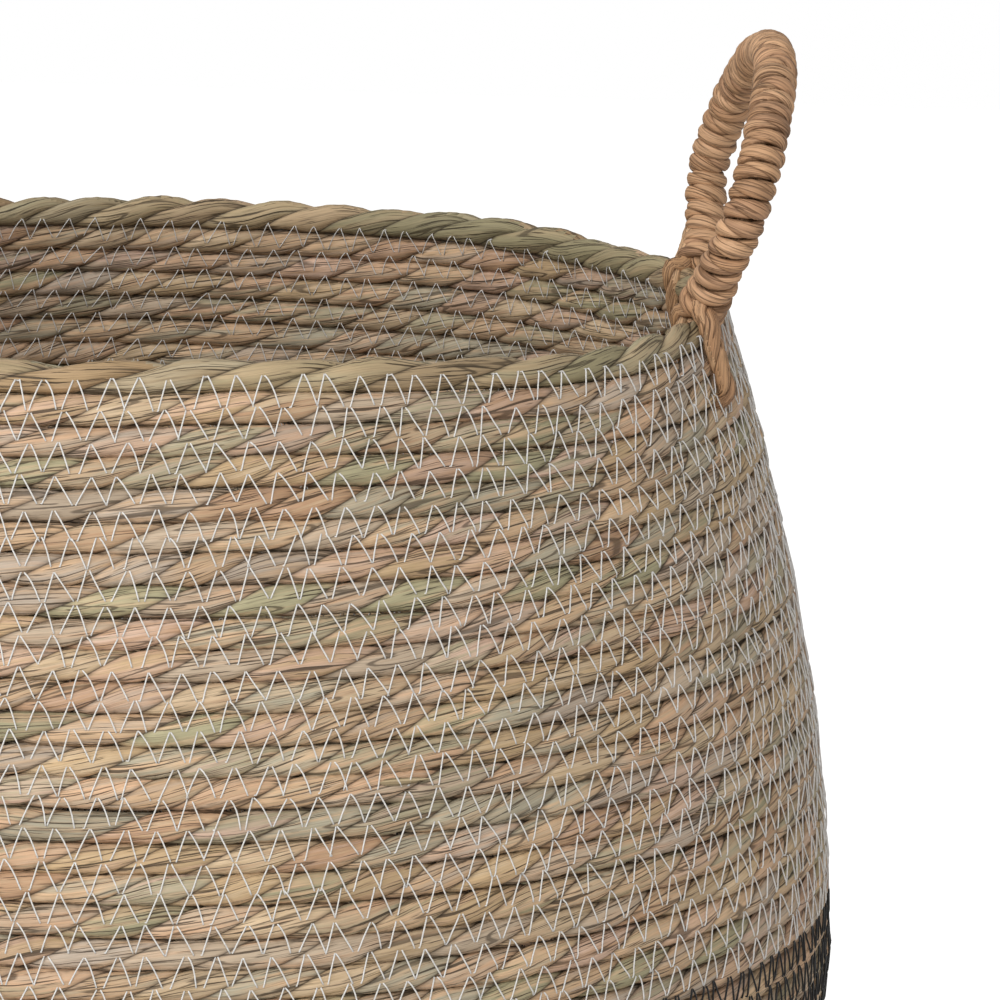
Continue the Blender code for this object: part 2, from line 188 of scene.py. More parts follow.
def plied_fibre(name, blades, crack_and_shade, roughness, girth, slant, fibre, streak, split, bump, tint=0.26, dull=1.0,
                dark_line=0.70):
    """Fibre laid in two plies, with the map of plied_tube: along the rope in metres, then round it.

    Each visible bend of a ply takes one blade colour. fibre, streak and split are the length and
    width of its fine lines, of its broader tints and of the space between the edges of its blades.
    """
    material = bpy.data.materials.new(name)
    material.use_nodes = True
    tree = material.node_tree
    shader = tree.nodes["Principled BSDF"]
    shader.inputs["Roughness"].default_value = roughness
    shader.inputs["Specular IOR Level"].default_value = 0.35
    route = add_node(tree, "ShaderNodeUVMap", {"uv_map": "lay"})
    parts = add_node(tree, "ShaderNodeSeparateXYZ", None, {0: route.outputs[0]})
    blade = add_node(tree, "ShaderNodeAttribute", {"attribute_name": "blade"})
    shade = add_node(tree, "ShaderNodeAttribute", {"attribute_name": "shade"})
    crease = add_node(tree, "ShaderNodeAttribute", {"attribute_name": "crease"})

    def sum_of(kind, first, second=0.5, clamp=False):
        return add_node(tree, "ShaderNodeMath", {"operation": kind, "use_clamp": clamp}, {0: first, 1: second}).outputs[0]

    round_it = sum_of("MULTIPLY", parts.outputs[1], girth)
    sheared = sum_of("ADD", round_it, sum_of("MULTIPLY", parts.outputs[0], slant))
    seed = sum_of("MULTIPLY", blade.outputs["Fac"], 40.0)

    def fibres(size, detail, shift=0.0):
        place = add_node(tree, "ShaderNodeCombineXYZ", None, {
            0: sum_of("DIVIDE", parts.outputs[0], size[0]), 1: sum_of("DIVIDE", sheared, size[1]),
            2: sum_of("ADD", seed, shift)})
        return add_node(tree, "ShaderNodeTexNoise", None, {
            "Vector": place.outputs[0], "Scale": 1.0, "Detail": detail, "Roughness": 0.6}).outputs[0]

    def ramp_of(value, stops):
        node = add_node(tree, "ShaderNodeValToRGB", None, {"Fac": value})
        set_ramp(node, stops)
        return node.outputs[0]

    fine = fibres(fibre, 2.0)
    streaks = fibres(streak, 2.0)
    blade_colour = ramp_of(
        sum_of("ADD", blade.outputs["Fac"], sum_of("MULTIPLY", sum_of("SUBTRACT", streaks), tint), True),
        [((k + 0.5) / len(blades), linear(c)) for k, c in enumerate(blades)])
    lines = ramp_of(fine, [(0.33, grey(dark_line)), (0.44, grey(0.97)), (0.66, grey(1.12))])
    tinted = add_node(tree, "ShaderNodeMix", {"data_type": "RGBA", "blend_type": "MULTIPLY"}, {
        "Factor": 1.0, "A": blade_colour, "B": lines})
    tone = add_node(tree, "ShaderNodeMix", {"data_type": "RGBA", "blend_type": "MULTIPLY"}, {
        "Factor": 1.0, "A": tinted.outputs["Result"], "B": shade.outputs["Color"]})

    distance = sum_of("ABSOLUTE", sum_of("SUBTRACT", fibres((split[0] * 2, split[1]), 0.0, 3.7)))
    edges = ramp_of(distance, [(0.008, grey(0.8)), (0.020, grey(0.0))])
    long_lines = ramp_of(fibres((split[0], split[1] * 0.26), 1.0, 9.1), [(0.32, grey(1.0)), (0.36, grey(0.0))])
    short_lines = ramp_of(fibres((split[0] * 0.5, split[1] * 0.15), 1.0, 5.3), [(0.30, grey(0.9)), (0.35, grey(0.0))])
    splits = sum_of("MAXIMUM", edges, sum_of("MAXIMUM", long_lines, short_lines))
    parted = add_node(tree, "ShaderNodeMix", {"data_type": "RGBA"}, {
        "Factor": sum_of("MULTIPLY", splits, 0.85 * dull), "A": tone.outputs["Result"], "B": linear(crack_and_shade)})
    # Painted shade: the crease attribute blends toward the dark crack colour in the notches between plies and in the
    # grooves against neighbours
    with_painted_shade = add_node(tree, "ShaderNodeMix", {"data_type": "RGBA"}, {
        "Factor": crease.outputs["Fac"], "A": parted.outputs["Result"], "B": linear(crack_and_shade)})
    tree.links.new(with_painted_shade.outputs["Result"], shader.inputs["Base Color"])

    height = sum_of("SUBTRACT", fine, sum_of("MULTIPLY", splits, 0.9))
    relief = add_node(tree, "ShaderNodeBump", None, {"Strength": 1.0, "Distance": bump, "Height": height})
    tree.links.new(relief.outputs[0], shader.inputs["Normal"])
    return material


def thread_finish(name, colour, roughness):
    """Spun sewing thread: fine plies that show as a slight mottle along it."""
    material = bpy.data.materials.new(name)
    material.use_nodes = True
    tree = material.node_tree
    shader = tree.nodes["Principled BSDF"]
    shader.inputs["Roughness"].default_value = roughness
    shader.inputs["Specular IOR Level"].default_value = 0.3
    shader.inputs["Sheen Weight"].default_value = 0.15
    place = add_node(tree, "ShaderNodeNewGeometry")
    spun = add_node(tree, "ShaderNodeTexNoise", None, {
        "Vector": place.outputs["Position"], "Scale": 1800.0, "Detail": 1.0})
    tones = add_node(tree, "ShaderNodeValToRGB", None, {"Fac": spun.outputs[0]})
    set_ramp(tones, [(0.3, grey(0.80)), (0.6, grey(1.0))])
    mixed = add_node(tree, "ShaderNodeMix", {"data_type": "RGBA", "blend_type": "MULTIPLY"}, {
        "Factor": 1.0, "A": linear(colour), "B": tones.outputs[0]})
    tree.links.new(mixed.outputs["Result"], shader.inputs["Base Color"])
    relief = add_node(tree, "ShaderNodeBump", None, {"Strength": 0.4, "Distance": 0.0001, "Height": spun.outputs[0]})
    tree.links.new(relief.outputs[0], shader.inputs["Normal"])
    return material


# Seagrass dries unevenly: olive, grey-green, straw, tan and pink blades lie side by side
SEAGRASS_BLADES = ("#A09878", "#D0AE8A", "#A8A08A", "#C8A682", "#B4A492", "#CAA88C", "#BA9E78", "#C6AE8E", "#B08C6C",
                   "#C8AA94", "#A69C80", "#CCA684", "#BAA68E")
RIM_BLADES = ("#968C6C", "#B09A78", "#A2987A", "#BAA07E", "#A08A6A", "#B0A286", "#988666", "#BA9E80", "#9C8260")
PAPER_BLADES = ("#B68C68", "#C49A74", "#AA8262", "#CEA47E", "#BA926E")
STRAND_BLADES = ("#BC926A", "#CCA078", "#B08662", "#D4AC84")
LOOSE_BLADES = ("#C0AC88", "#AE9E7C", "#CAB08C")


# Wall's middle line, as in the solids

def wall_line():
    foot_height = BASE_MIDDLE + ROPE_RADIUS
    height = np.linspace(RIM_HEIGHT, foot_height, 800)
    above = np.clip((height - BELLY_HEIGHT) / (RIM_HEIGHT - BELLY_HEIGHT), 0, None)
    below = np.clip((BELLY_HEIGHT - height) / (BELLY_HEIGHT - foot_height), 0, None)
    radius = (BELLY_RADIUS
              - (BELLY_RADIUS - RIM_RADIUS) * above ** SHOULDER_POWER
              - (BELLY_RADIUS - FOOT_RADIUS) * below ** TUCK_POWER)
    steps = np.hypot(np.diff(radius), np.diff(height))
    return radius, height, np.concatenate([[0], np.cumsum(steps)])


WALL_LINE = wall_line()
WALL_LENGTH = WALL_LINE[2][-1]
COURSES = round((WALL_LENGTH - COIL_TOP) / ROPE_DIAMETER)
PITCH = (WALL_LENGTH - COIL_TOP) / COURSES


def wall_at(length):
    """Radius, height and the outward normal's tilt from level at lengths down the wall."""
    radius, height, lengths = WALL_LINE
    tilt = np.arctan2(np.gradient(radius, lengths), -np.gradient(height, lengths))
    return (np.interp(length, lengths, radius), np.interp(length, lengths, height),
            np.interp(length, lengths, tilt))


def coil_table():
    """Place of the rope's middle for each course number, from the rim's middle to the middle of the base."""
    wall = np.append(-0.5 - COIL_TOP / PITCH, np.arange(-1.0, COURSES - 0.99, 0.125))
    radius, height, tilt = wall_at(COIL_TOP + (wall + 0.5) * PITCH)
    end_radius, _, _ = wall_at(WALL_LENGTH)
    outer = end_radius - FLAT_CUT
    turns = round(outer / ROPE_DIAMETER)
    base = COURSES + np.arange(0, turns + 0.3, 0.25)
    base_radius = np.maximum(outer * (1 - (base - COURSES) / turns), MIDDLE_RADIUS)
    course = np.concatenate([wall, base])
    radius = np.concatenate([radius, base_radius])
    height = np.concatenate([height, np.full(len(base), BASE_MIDDLE)])
    tilt = np.concatenate([tilt, np.full(len(base), -math.pi / 2)])
    return course, radius, height, tilt


COIL = coil_table()
LAST_COURSE = COIL[0][-1]


def smoothstep(value):
    value = np.clip(value, 0, 1)
    return value * value * (3 - 2 * value)


def wave_at(angle, height):
    """How far the wall stands above its level line there. It fades out down the wall."""
    degrees = np.degrees(angle)
    rise = 0.0
    for middle, half_width, millimetres in RIM_WAVES:
        off = (degrees - middle + 180) % 360 - 180
        rise = rise + millimetres / 1000 * np.exp(-(off / half_width) ** 2)
    return rise * smoothstep((height - WAVES_FADE) / (RIM_HEIGHT - WAVES_FADE))


def course_at(turn):
    """Course number after so many turns: level for most of a turn, then a step down, which becomes an
    even spiral over some turns of the base."""
    whole = np.floor(turn)
    part = turn - whole
    step = smoothstep(part / RAMP_SHARE)
    even = part + (1 - RAMP_SHARE) / 2
    stepped = np.clip(1 - (turn - COURSES - 1) / SPIRAL_TURNS, 0, 1)
    level = whole - 1 + even + stepped * (step - even)
    return np.where(turn < RAMP_SHARE, step / 2 - 0.5, level)


def coil_point(course, angle, outward, down=0.0):
    """A point by its course and compass angle, set off outward and down the wall from the rope's middle line."""
    radius, height, tilt = (np.interp(course, COIL[0], column) for column in COIL[1:])
    r = radius + outward * np.cos(tilt) + down * np.sin(tilt)
    z = height + outward * np.sin(tilt) - down * np.cos(tilt) + wave_at(angle, height)
    return np.stack([r * np.cos(angle), r * np.sin(angle), z], axis=-1)


# Random but repeatable

def wander(rng, along, spacing):
    """Smooth noise of about -1 to 1 along a length, with a new value at each spacing."""
    count = int(along.max() / spacing) + 3
    knots = rng.uniform(-1, 1, count)
    place = along / spacing
    low = np.floor(place).astype(int)
    part = smoothstep(place - low)
    return knots[low] * (1 - part) + knots[low + 1] * part


def blade_values(rng, count):
    """A blade colour for each bend of a ply. Some bends keep the blade of the one before."""
    values = rng.uniform(0.02, 0.98, count)
    for k in range(2, count):
        if rng.random() < 0.30:
            values[k] = values[k - 2]
    return values


# Meshes

def mesh_object(name, verts, faces, materials):
    """Faces are quads, or triangles where the last corner is -1."""
    mesh = bpy.data.meshes.new(name)
    quads = faces[faces[:, 3] >= 0]
    triangles = faces[faces[:, 3] < 0][:, :3]
    corners = np.concatenate([quads.ravel(), triangles.ravel()]).astype(np.int32)
    starts = np.concatenate([np.arange(len(quads)) * 4, len(quads) * 4 + np.arange(len(triangles)) * 3])
    mesh.vertices.add(len(verts))
    mesh.vertices.foreach_set("co", verts.astype(np.float32).ravel())
    mesh.loops.add(len(corners))
    mesh.loops.foreach_set("vertex_index", corners)
    mesh.polygons.add(len(starts))
    mesh.polygons.foreach_set("loop_start", starts.astype(np.int32))
    smooth = np.ones(len(starts), bool)
    smooth[len(quads):] = False
    mesh.polygons.foreach_set("use_smooth", smooth)
    mesh.update(calc_edges=True)
    mesh.validate()
    obj = bpy.data.objects.new(name, mesh)
    bpy.context.collection.objects.link(obj)
    for material in materials:
        mesh.materials.append(material)
    return obj, len(quads), len(triangles)


def ring_faces(rings, sides, closed):
    """Quads between rings of vertices, with fans over the ends of an open tube."""
    spans = rings if closed else rings - 1
    ring = np.arange(spans)[:, None]
    side = np.arange(sides)[None, :]
    after = (ring + 1) % rings
    beside = (side + 1) % sides
    quads = np.stack([ring * sides + side, ring * sides + beside, after * sides + beside, after * sides + side],
                     axis=-1).reshape(-1, 4)
    if closed:
        return quads
    ends = []
    for first, middle, flip in ((0, rings * sides, True), ((rings - 1) * sides, rings * sides + 1, False)):
        a = first + np.arange(sides)
        b = first + (np.arange(sides) + 1) % sides
        fan = np.stack([b, a] if flip else [a, b], axis=-1)
        ends.append(np.column_stack([fan, np.full(sides, middle), np.full(sides, -1)]))
    return np.concatenate([quads] + ends)


def set_attribute(obj, name, domain, values):
    obj.data.attributes.new(name, "FLOAT", domain).data.foreach_set("value", values.astype(np.float32))


def plied_tube(name, centres, outs, sides_dir, twist, along, radii, girths, material, seed, closed=False,
               notch=NOTCH_DEPTH, fullness=FULLNESS, swells=None, crease_shade=0.75,
               notch_width=NOTCH_WIDTH, pressed=(PRESSED_SHARE, PRESSED_SHARE),
               groove_shade=(0.0, 0.0), floor=None):
    """A two-ply rope. The columns of vertices turn with the plies, so each crease is an edge loop.

    outs and sides_dir span each cross-section; twist is the turn of the plies there; girths are the
    half sizes along the two; swells is how far each ply stands out. pressed is the share of a notch
    that is lost against the neighbour before it and after it. The groove values set how dark a painted
    shade is on the rope against that neighbour, the crease value how dark a painted shade is in the notch
    between the plies, and floor is how low it can hang.
    """
    rng = np.random.default_rng(seed)
    shares = np.array([(ply + share) / 2 for ply in (0, 1) for share in COLUMN_SHARES])
    sides = len(shares)
    ply = (np.arange(sides) >= sides // 2).astype(int)
    uneven = 0.035 * wander(rng, along, 0.05)
    angle = twist[:, None] + math.tau * (shares[None, :] + uneven[:, None] * np.sin(math.tau * shares)[None, :])
    from_crease = np.abs((shares * 2 + 0.5) % 1 - 0.5) * math.pi
    next_side = np.sin(angle) > 0
    press = np.where(next_side, pressed[1], pressed[0]) * np.sin(angle) ** 2
    depth = notch * (1 - press) * (1 + 0.35 * wander(rng, along, 0.015))[:, None]
    dip = 1 - depth * (1 - np.clip(from_crease / notch_width, 0, 1))[None, :] ** 1.7
    square = (np.abs(np.cos(angle)) ** fullness + np.abs(np.sin(angle)) ** fullness) ** (-1 / fullness)
    if swells is None:
        swells = PLY_SWELL * np.stack([wander(rng, along, 0.018), wander(rng, along, 0.018)], axis=1)
    swell = 1 + swells[:, ply] * np.sin(from_crease)[None, :]
    size = dip * square * swell * radii[:, None]
    place = (centres[:, None, :]
             + (size * np.cos(angle) * girths[0])[..., None] * outs[:, None, :]
             + (size * np.sin(angle) * girths[1])[..., None] * sides_dir[:, None, :])
    verts = place.reshape(-1, 3)
    if not closed:
        verts = np.concatenate([verts, centres[:1], centres[-1:]])
    if floor is not None:
        verts[:, 2] = np.maximum(verts[:, 2], floor)
    rings = len(centres)
    obj, quads, fans = mesh_object(name, verts, ring_faces(rings, sides, closed), [material])
    spans = rings if closed else rings - 1

    lay = obj.data.uv_layers.new(name="lay")
    ends_along = np.append(along, along[-1] + (along[-1] - along[-2])) if closed else along
    start, after = ends_along[:spans], ends_along[1:spans + 1]
    right = np.append(shares[1:], 1.0)
    u = np.stack([np.broadcast_to(start[:, None], (spans, sides))] * 2
                 + [np.broadcast_to(after[:, None], (spans, sides))] * 2, axis=-1)
    v = np.broadcast_to(np.stack([shares, right, right, shares], axis=-1)[None], (spans, sides, 4))
    route = np.stack([u, v], axis=-1).reshape(-1, 2)
    route = np.concatenate([route, np.zeros((fans * 3, 2))])
    lay.data.foreach_set("uv", route.astype(np.float32).ravel())

    middle = (angle[:spans] + np.roll(angle, -1, axis=1)[:spans]) / 2
    middle[:, -1] = (angle[:spans, -1] + angle[:spans, 0] + math.tau) / 2
    bend = np.round(middle / math.pi).astype(int)
    bend -= bend.min()
    blades = np.stack([blade_values(rng, bend.max() + 1) for _ in range(2)])
    shades = np.clip(rng.normal(1.0, 0.065, (2, bend.max() + 1)), 0.80, 1.14)
    set_attribute(obj, "blade", "FACE", np.append(blades[ply[None, :], bend].ravel(), np.zeros(fans)))
    set_attribute(obj, "shade", "FACE", np.append(shades[ply[None, :], bend].ravel(), np.ones(fans)))
    # Painted shade: darker in the notch between the plies, and on the top and underside where the rope meets its
    # neighbours
    crease = np.clip(1 - from_crease / math.radians(9), 0, 1) * crease_shade
    shade_against_neighbours = np.where(next_side, groove_shade[1], groove_shade[0]) * smoothstep((np.abs(np.sin(angle)) - 0.88) / 0.12)
    crease = np.maximum(crease[None, :], shade_against_neighbours).ravel()
    set_attribute(obj, "crease", "POINT", crease if closed else np.append(crease, [0, 0]))
    return obj


def along_path(points):
    steps = np.linalg.norm(np.diff(points, axis=0), axis=1)
    return np.concatenate([[0], np.cumsum(steps)])


# The coiled rope

class Coil:
    """The rope's route, once for the rope and the thread: where it runs, how it twists and wanders."""

    def __init__(self):
        rng = np.random.default_rng(FIRST_SEED)
        last_turn = LAST_COURSE + (1 + RAMP_SHARE) / 2
        fine = np.linspace(0, last_turn, 24000)
        length = along_path(coil_point(course_at(fine), RAMP_START + math.tau * fine, 0.0))
        self.along = np.arange(0, length[-1], RING_STEP)
        self.turn = np.interp(self.along, length, fine)
        self.twist = -(math.tau * self.along / LAY + 1.1 * wander(rng, self.along, 0.07))
        self.out_drift = 0.00030 * wander(rng, self.along, 0.06)
        self.down_drift = 0.00038 * wander(rng, self.along, 0.07)
        self.swell = 1 + 0.03 * wander(rng, self.along, 0.11)
        self.plies = PLY_SWELL * np.stack([wander(rng, self.along, 0.018), wander(rng, self.along, 0.018)], axis=1)

    def rings(self, pick):
        turn = self.turn[pick]
        angle = RAMP_START + math.tau * turn
        course = course_at(turn)
        centres = coil_point(course, angle, self.out_drift[pick], self.down_drift[pick])
        outs = coil_point(course, angle, 1.0) - coil_point(course, angle, 0.0)
        downs = coil_point(course, angle, 0.0, 1.0) - coil_point(course, angle, 0.0)
        return turn, centres, outs, downs

    def surface(self, turn, side_angle):
        """How far the rope's skin stands out from its middle there, at an angle round the rope."""
        twist = np.interp(turn, self.turn, self.twist)
        share = (side_angle - twist) / math.tau % 1
        from_crease = np.abs((share * 2 + 0.5) % 1 - 0.5) * math.pi
        depth = NOTCH_DEPTH * (1 - PRESSED_SHARE * np.sin(side_angle) ** 2)
        dip = 1 - depth * (1 - np.clip(from_crease / NOTCH_WIDTH, 0, 1)) ** 1.7
        square = (np.abs(np.cos(side_angle)) ** FULLNESS + np.abs(np.sin(side_angle)) ** FULLNESS) ** (-1 / FULLNESS)
        plies = [np.interp(turn, self.turn, column) for column in self.plies.T]
        swell = 1 + np.where(share < 0.5, plies[0], plies[1]) * np.sin(from_crease)
        swell = swell * np.interp(turn, self.turn, self.swell)
        drift = np.interp(turn, self.turn, self.out_drift)
        return ROPE_RADIUS * dip * square * swell * np.abs(np.cos(side_angle)), drift


def build_coil(coil, seagrass):
    """The rope in stretches of a few courses, so that each stays a light mesh."""
    cuts = [0.0] + [c + RAMP_SHARE for c in (5, 10, 15)] + [UPPER_COURSES]
    cuts += [UPPER_COURSES + c for c in (5, 11, 17)] + [COURSES, coil.turn[-1]]
    made = {"upper": [], "lower": [], "base": []}
    for number, (start, end) in enumerate(zip(cuts, cuts[1:])):
        pick = np.flatnonzero((coil.turn >= start) & (coil.turn <= end))
        if pick[-1] + 1 < len(coil.turn):
            pick = np.append(pick, pick[-1] + 1)
        zone = "upper" if end <= UPPER_COURSES else "lower" if end <= COURSES else "base"
        turn, centres, outs, downs = coil.rings(pick)
        tail = np.where(turn < RAMP_SHARE, np.maximum(smoothstep(turn / RAMP_SHARE), 0.12), 1.0)
        radii = ROPE_RADIUS * coil.swell[pick] * tail
        girths = (BASE_GIRTH, BASE_GIRTH) if zone == "base" else (1.0, PRESSED_GIRTH)
        # The crease and groove values paint shade into the notches between the plies and against the courses above and
        # below
        piece = plied_tube(
            f"seagrass_{zone}_{number}", centres, outs, downs, coil.twist[pick], coil.along[pick], radii, girths,
            seagrass, FIRST_SEED + 10 + number,
            swells=coil.plies[pick], crease_shade=0.85, groove_shade=(0.6, 0.6), floor=PRESSED_FLOOR)
        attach(piece, "root")
        made[zone].append(piece)
    for zone, node in (("upper", "upper_wall_coil"), ("lower", "lower_wall_coil"), ("base", "base_coil")):
        for piece in made[zone]:
            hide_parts(node)


def build_rim(material):
    """The last round of rope, thicker, closing the mouth."""
    rng = np.random.default_rng(FIRST_SEED + 50)
    count = round(math.tau * RIM_RADIUS / RING_STEP)
    angle = math.tau * np.arange(count) / count
    along = RIM_RADIUS * angle
    lays = round(math.tau * RIM_RADIUS / RIM_LAY)
    fade = smoothstep(along / 0.04) * smoothstep((along[-1] - along) / 0.04)
    twist = -(lays * (angle + RIM_LAY_SHARE * (1 - np.cos(angle))) + 1.0 * wander(rng, along, 0.06) * fade)
    radial = np.stack([np.cos(angle), np.sin(angle), np.zeros(count)], axis=-1)
    down = np.tile([0.0, 0.0, -1.0], (count, 1))
    centres = radial * RIM_RADIUS + np.outer(RIM_HEIGHT + wave_at(angle, RIM_HEIGHT), [0, 0, 1.0])
    centres = centres + down * (0.0003 * wander(rng, along, 0.05) * fade)[:, None]
    radii = RIM_ROPE_RADIUS * (1 + 0.05 * wander(rng, along, 0.06) * fade)
    swells = 0.16 * np.stack([wander(rng, along, 0.02), wander(rng, along, 0.02)], axis=1) * fade[:, None]
    # Painted shade in the notches between the plies, and on the underside where the rim sits on the first course
    piece = plied_tube("seagrass_rim", centres, radial, down, twist, along, radii, (1.0, 1.09), material,
                       FIRST_SEED + 51, closed=True, notch=0.44, swells=swells, crease_shade=0.9,
                       notch_width=RIM_NOTCH_WIDTH, pressed=(0.0, 0.9), groove_shade=(0.0, 0.7))
    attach(piece, "root")
    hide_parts("rim_coil")


def build_frays(coil, loose):
    """Loose ends of blades, which lift a little off the rope."""
    rng = np.random.default_rng(FIRST_SEED + 70)
    count = 70
    stations = np.linspace(0, 1, 8)
    inside = rng.random(count) < 0.35
    side = np.where(inside, -1.0, 1.0)
    turn = rng.uniform(1.3, COURSES - 6, count)
    length = rng.uniform(0.009, 0.020, count) * rng.choice([-1, 1], count)
    lean = rng.uniform(-0.75, 0.65, count)
    slide = rng.uniform(-0.0016, 0.0022, count)
    width = rng.uniform(0.0006, 0.0014, count)
    lift = rng.uniform(0.0002, 0.0011, count)
    shape = np.sin(math.pi * np.clip(stations, 0, 1) ** 0.6) ** 0.75
    along = np.interp(turn, coil.turn, coil.along)[:, None] + length[:, None] * stations
    turns = np.interp(along, coil.along, coil.turn)
    angle = RAMP_START + math.tau * turns
    down = ROPE_RADIUS * np.sin(lean)[:, None] + slide[:, None] * stations
    place = []
    for across, over in ((-1, 0.0), (0, 1.0), (1, 0.0), (0, -1.0)):
        off = down + across * width[:, None] * shape
        leaning = np.arcsin(np.clip(off / (ROPE_RADIUS * PRESSED_GIRTH), -0.97, 0.97))
        skin, drift = coil.surface(turns, np.where(inside[:, None], math.pi - leaning, leaning))
        rise = skin + 0.00012 + lift[:, None] * stations ** 2 + 0.00010 * over + side[:, None] * drift
        place.append(coil_point(course_at(turns), angle, side[:, None] * rise, off))
    verts = np.stack(place, axis=2).reshape(-1, 3)
    quads = []
    block = len(stations) * 4
    for k in range(len(stations) - 1):
        for j in range(4):
            quads.append([k * 4 + j, k * 4 + (j + 1) % 4, k * 4 + 4 + (j + 1) % 4, k * 4 + 4 + j])
    quads.append([0, 3, 2, 1])
    quads.append([block - 4, block - 3, block - 2, block - 1])
    quads = np.array(quads)
    flips = (side * np.sign(length)) > 0
    faces = np.concatenate([(quads[:, ::-1] if flips[n] else quads) + n * block for n in range(count)])
    obj, total, _ = mesh_object("seagrass_frays", verts, faces, [loose])
    lay = obj.data.uv_layers.new(name="lay")
    corner_verts = faces.ravel()
    u = np.repeat(np.abs(length)[:, None] * stations, 4, axis=1).reshape(-1)
    u = u + np.repeat(rng.uniform(0, 9, count), block)
    v = np.tile([-0.04, 0.0, 0.04, 0.0], count * len(stations))
    lay.data.foreach_set("uv", np.stack([u[corner_verts], v[corner_verts]], axis=-1).astype(np.float32).ravel())
    per_face = total // count
    set_attribute(obj, "blade", "FACE", np.repeat(rng.uniform(0, 1, count), per_face))
    set_attribute(obj, "shade", "FACE", np.repeat(rng.uniform(0.85, 1.1, count), per_face))
    set_attribute(obj, "crease", "POINT", np.zeros(len(verts)))
    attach(obj, "root")


# Threads

def plain_tube(name, points, outward, radius, sides, material):
    """A thin round thread along the points, turned by the surface it lies on."""
    tangent = np.gradient(points, axis=0)
    tangent /= np.linalg.norm(tangent, axis=1)[:, None]
    across = np.cross(tangent, outward)
    across /= np.maximum(np.linalg.norm(across, axis=1), 1e-9)[:, None]
    up = np.cross(across, tangent)
    turn = math.tau * np.arange(sides) / sides
    place = (points[:, None, :] + radius * np.cos(turn)[None, :, None] * across[:, None, :]
             + radius * np.sin(turn)[None, :, None] * up[:, None, :])
    verts = np.concatenate([place.reshape(-1, 3), points[:1], points[-1:]])
    verts[:, 2] = np.maximum(verts[:, 2], 0)
    obj, _, _ = mesh_object(name, verts, ring_faces(len(points), sides, False), [material])
    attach(obj, "root")
    return obj


def zigzag(coil, start, end, stitch, inside, radius, seed):
    """Points and outward directions of one run of zigzag thread along the seam above the rope."""
    rng = np.random.default_rng(seed)
    side = -1.0 if inside else 1.0
    first = np.interp(start, coil.turn, coil.along)
    last = np.interp(end, coil.turn, coil.along)
    count = int((last - first) / stitch)
    begin = first + stitch * np.arange(count)
    row = ROW_WANDER * wander(rng, begin - first, 0.085)
    begin = begin + stitch * 0.09 * rng.uniform(-1, 1, count)
    rise = RISE_SHARE + 0.13 * rng.uniform(-1, 1, count)
    reach = INNER_STITCH_SHARE if inside else 1.0
    on_rim = np.interp(begin, coil.along, coil.turn) < 1 + RAMP_SHARE
    top = np.where(on_rim, -RIM_TIP, -TIP_ABOVE * reach + row) + 0.0004 * rng.uniform(-1, 1, count)
    bottom = TIP_BELOW * reach + row + 0.00045 * rng.uniform(-1, 1, count)
    next_bottom = np.roll(bottom, -1)
    span = stitch - (UPPER_TIP_GAP + LOWER_TIP_GAP) / 2
    shares = np.array(STROKE_SHARES)
    low_gap = LOWER_TIP_GAP * rng.uniform(0.3, 1.5, count)
    top_gap = UPPER_TIP_GAP * rng.uniform(0.3, 1.7, count)
    x_rise = begin[:, None] + low_gap[:, None] / 2 + span * rise[:, None] * shares[None, :]
    s_rise = bottom[:, None] + (top - bottom)[:, None] * shares[None, :]
    fall_end = begin + stitch - np.roll(low_gap, -1) / 2
    fall_start = x_rise[:, -1] + top_gap
    x_fall = fall_start[:, None] + (fall_end - fall_start)[:, None] * shares[None, :]
    s_fall = top[:, None] + (next_bottom - top)[:, None] * shares[None, :]
    sag = rng.uniform(-0.3, 1.5, count)[:, None]
    x_rise = x_rise - 0.00012 * sag * np.sin(math.pi * shares)[None, :]
    x_fall = x_fall + 0.00045 * sag * np.sin(math.pi * shares ** 0.7)[None, :]
    hole = 0.00012
    along = np.concatenate([x_rise, x_rise[:, -1:] + hole, x_fall[:, :1] - hole,
                            x_fall, x_fall[:, -1:] + hole, (begin + stitch + np.roll(low_gap, -1) / 2 - hole)[:, None]],
                           axis=1).ravel()
    down = np.concatenate([s_rise, top[:, None], top[:, None],
                           s_fall, next_bottom[:, None], next_bottom[:, None]], axis=1).ravel()
    steps = len(shares)
    points = 2 * steps + 4
    dive = np.zeros((count, points), bool)
    dive[:, [steps, steps + 1, points - 2, points - 1]] = True
    turn = np.interp(along, coil.along, coil.turn)
    angle = RAMP_START + math.tau * turn
    course = course_at(turn)
    lower = down > 0
    from_middle = np.where(lower, down - PITCH / 2, down + PITCH / 2)
    lean = np.arcsin(np.clip(from_middle / (ROPE_RADIUS * PRESSED_GIRTH), -0.97, 0.97))
    lean = lean if not inside else math.pi - lean
    own_turn = np.where(lower, turn, np.maximum(turn - 1, 0))
    skin, drift = coil.surface(own_turn, lean)
    skin = skin + side * drift
    in_rim = (~lower) & (turn < 1 + RAMP_SHARE)
    rim_skin = np.sqrt(np.maximum(RIM_ROPE_RADIUS ** 2 - (down + COIL_TOP) ** 2, 0))
    table = np.where(in_rim, rim_skin, skin).reshape(count, -1)
    bridge = table.copy()
    for part in (slice(0, steps), slice(steps + 2, 2 * steps + 2)):
        ends = table[:, part]
        bridge[:, part] = ends[:, :1] + (ends[:, -1:] - ends[:, :1]) * shares[None, :]
    bridge = np.maximum(bridge, table) + radius * 0.80
    bridge[:, [0, steps - 1, steps + 2, 2 * steps + 1]] -= radius * 0.5
    bridge = (bridge - THREAD_DIVE * dive).ravel()
    place = coil_point(course - 0.5 + down / PITCH, angle, side * bridge)
    outward = coil_point(course, angle, side) - coil_point(course, angle, 0.0)
    return place, outward


